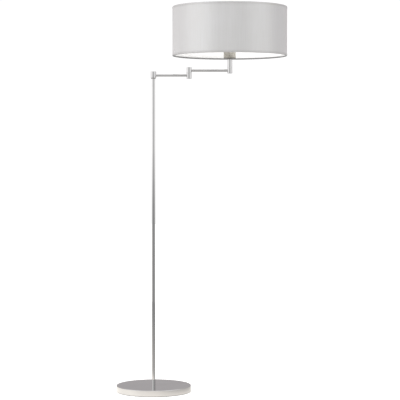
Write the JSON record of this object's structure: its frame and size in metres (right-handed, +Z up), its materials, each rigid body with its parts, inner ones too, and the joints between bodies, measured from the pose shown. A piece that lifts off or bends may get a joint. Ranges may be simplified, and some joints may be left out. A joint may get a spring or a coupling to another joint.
{
  "type": "swing-arm floor lamp",
  "caption": "Floor lamp with a round weighted base, a thin chrome pole, a level jointed arm that folds sideways and a wide drum shade on an upright post at its end.",
  "frame": {"origin": "the pole's axis at the floor, in the middle of the base pad's underside", "axes": "+Z up along the pole, +X along the two straight arms towards the shade, +Y to the rear, where the cord inlet is"},
  "size_m": [0.673, 0.4508, 1.515],
  "materials": {
    "chrome": "polished chrome plate",
    "satin_nickel": "satin nickel plate",
    "black_paint": "matt black paint",
    "cast_iron": "rough casting",
    "pad_foam": "fine-celled foam",
    "black_rubber": "moulded, satin",
    "zinc_steel": "zinc plate",
    "brass": "turned",
    "nylon": "moulded, satin",
    "wire_sheath": "extruded, satin",
    "white_plastic": "moulded, half gloss",
    "steatite": "unglazed",
    "white_paint": "powder coat",
    "shade_fabric": "satin weave laminated on stiff film",
    "shade_lining": "satin film",
    "bulb_cap_metal": "rolled thread",
    "opal_glass": "opal, satin"
  },
  "bodies": {
    "stand": {"base_cover": "chrome", "base_nut": "zinc_steel", "base_pad": "pad_foam", "base_plate": "black_paint", "base_plate_screws": "zinc_steel", "base_stud": "zinc_steel", "base_washer": "zinc_steel", "base_weight": "cast_iron", "cord_grommet": "black_rubber", "pole_head_cone": "chrome", "pole_pivot": "brass", "pole_pivot_nut": "brass", "pole_stop_washer": "zinc_steel", "pole_thrust_washer": "nylon", "pole_tube": "chrome", "wire_base": "wire_sheath"},
    "arm_1": {"pole_head_housing": "chrome", "pole_head_cap": "chrome", "pole_head_stop_pin": "zinc_steel", "arm_1_tube": "chrome", "elbow_lower_housing": "chrome", "elbow_lower_cap": "chrome", "elbow_pivot": "brass", "elbow_thrust_washer": "nylon", "elbow_stop_washer": "zinc_steel", "elbow_pivot_nut": "brass", "wire_arm_1": "wire_sheath"},
    "arm_2": {"elbow_upper_housing": "chrome", "elbow_upper_cap": "chrome", "elbow_stop_pin": "zinc_steel", "arm_2_tube": "chrome", "end_housing": "chrome", "end_cap": "chrome", "end_pivot": "brass", "end_thrust_washer": "nylon", "end_stop_washer": "zinc_steel", "end_pivot_nut": "brass", "wire_arm_2": "wire_sheath"},
    "head": {"bulb_cap": "bulb_cap_metal", "bulb_envelope": "opal_glass", "head_nipple": "zinc_steel", "head_post": "chrome", "holder_cup": "satin_nickel", "lampholder_cap": "white_plastic", "lampholder_contact": "brass", "lampholder_core": "steatite", "lampholder_shell": "white_plastic", "lampholder_thread": "brass", "nipple_nut": "zinc_steel", "post_plug": "brass", "post_stop_pin": "zinc_steel", "shade_clamp_ring": "white_plastic", "shade_cover": "shade_fabric", "shade_hub": "white_paint", "shade_liner": "shade_lining", "shade_ring_bottom": "white_paint", "shade_ring_top": "white_paint", "shade_spokes": "white_paint", "shade_trims": "shade_fabric", "wire_head": "wire_sheath"}
  },
  "joints": [
    {"name": "arm_1_swing", "type": "hinge", "parent": "stand", "child": "arm_1", "pos_m": [0, 0, 1.25], "axis": [0, 0, 1], "range_deg": [-160, 160]},
    {"name": "arm_2_swing", "type": "hinge", "parent": "arm_1", "child": "arm_2", "pos_m": [0.14, 0, 1.25], "axis": [0, 0, 1], "range_deg": [-160, 160]},
    {"name": "head_swivel", "type": "hinge", "parent": "arm_2", "child": "head", "pos_m": [0.3, 0, 1.25], "axis": [0, 0, 1], "range_deg": [-160, 160]}
  ]
}
